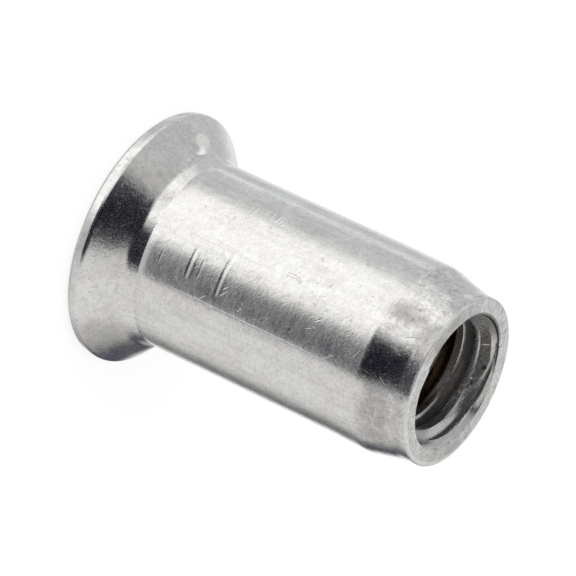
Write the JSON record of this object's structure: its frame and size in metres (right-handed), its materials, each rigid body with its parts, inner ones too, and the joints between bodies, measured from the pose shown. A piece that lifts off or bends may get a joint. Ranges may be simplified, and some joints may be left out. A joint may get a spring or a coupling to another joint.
{
  "type": "rivet nut",
  "caption": "Countersunk open-end rivet nut: a plain turned aluminium shank with a flush head, a thin sleeve that folds to clamp a sheet, and a tapered threaded nose.",
  "frame": {"origin": "centre of the head's flat face, on the nut's axis, which is also the bottom centre of its box", "axes": "+Z along the axis, from the head's flat face to the threaded nose; X and Y are free, because the nut is turned"},
  "size_m": [0.0094, 0.0094, 0.0135],
  "materials": {
    "nut_metal": "bright, tumbled, with fine nicks and scratches"
  },
  "bodies": {
    "root": {"rivet_nut": "nut_metal"}
  },
  "joints": []
}
